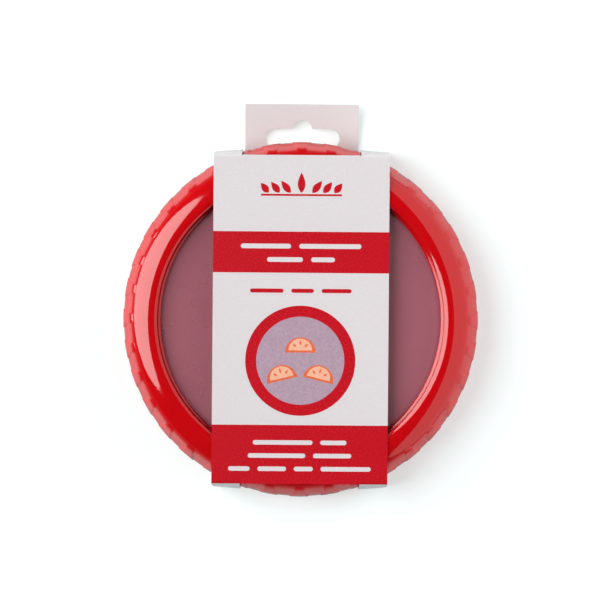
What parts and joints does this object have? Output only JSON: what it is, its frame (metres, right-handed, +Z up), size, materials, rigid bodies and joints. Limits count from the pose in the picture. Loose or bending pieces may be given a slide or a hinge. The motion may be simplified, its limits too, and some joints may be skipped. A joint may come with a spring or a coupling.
{
  "type": "produce saver pod",
  "caption": "Round food keeper: two domed rims with stretched see-through films push together over a seal, in a removable card sleeve with a hang tab.",
  "frame": {"origin": "on the pod's axis, on the underside of the back card, where it rests on the table", "axes": "+Z up along the pod's axis, +Y towards the hang tab, +X to the right seen from above"},
  "size_m": [0.15, 0.1668, 0.0252],
  "materials": {
    "red_plastic": "high gloss moulded",
    "red_plastic_inner": "satin moulded",
    "silicone_film": "glossy translucent film",
    "silicone_seal": "satin silicone",
    "printed_card": "coated card, printed bands",
    "plain_card": "coated card"
  },
  "bodies": {
    "card_back": {"sleeve_back": "plain_card"},
    "base": {"base_rim": "red_plastic", "base_clamp_ring": "red_plastic_inner", "base_membrane": "silicone_film"},
    "seal": {"seal_ring": "silicone_seal"},
    "lid": {"lid_rim": "red_plastic", "lid_clamp_ring": "red_plastic_inner", "lid_membrane": "silicone_film"},
    "card_front": {"sleeve_front": "printed_card"}
  },
  "joints": [
    {"name": "pod_lift", "type": "slide", "parent": "card_back", "child": "base", "axis": [0, 0, 1], "range_m": [0, 0.06]},
    {"name": "lid_lift", "type": "slide", "parent": "base", "child": "seal", "axis": [0, 0, 1], "range_m": [0, 0.06]},
    {"name": "lid_turn", "type": "hinge", "parent": "seal", "child": "lid", "pos_m": [0, 0, 0.0126], "axis": [0, 0, 1], "continuous": true},
    {"name": "card_lift", "type": "slide", "parent": "seal", "child": "card_front", "axis": [0, 0, 1], "range_m": [0, 0.06]}
  ]
}
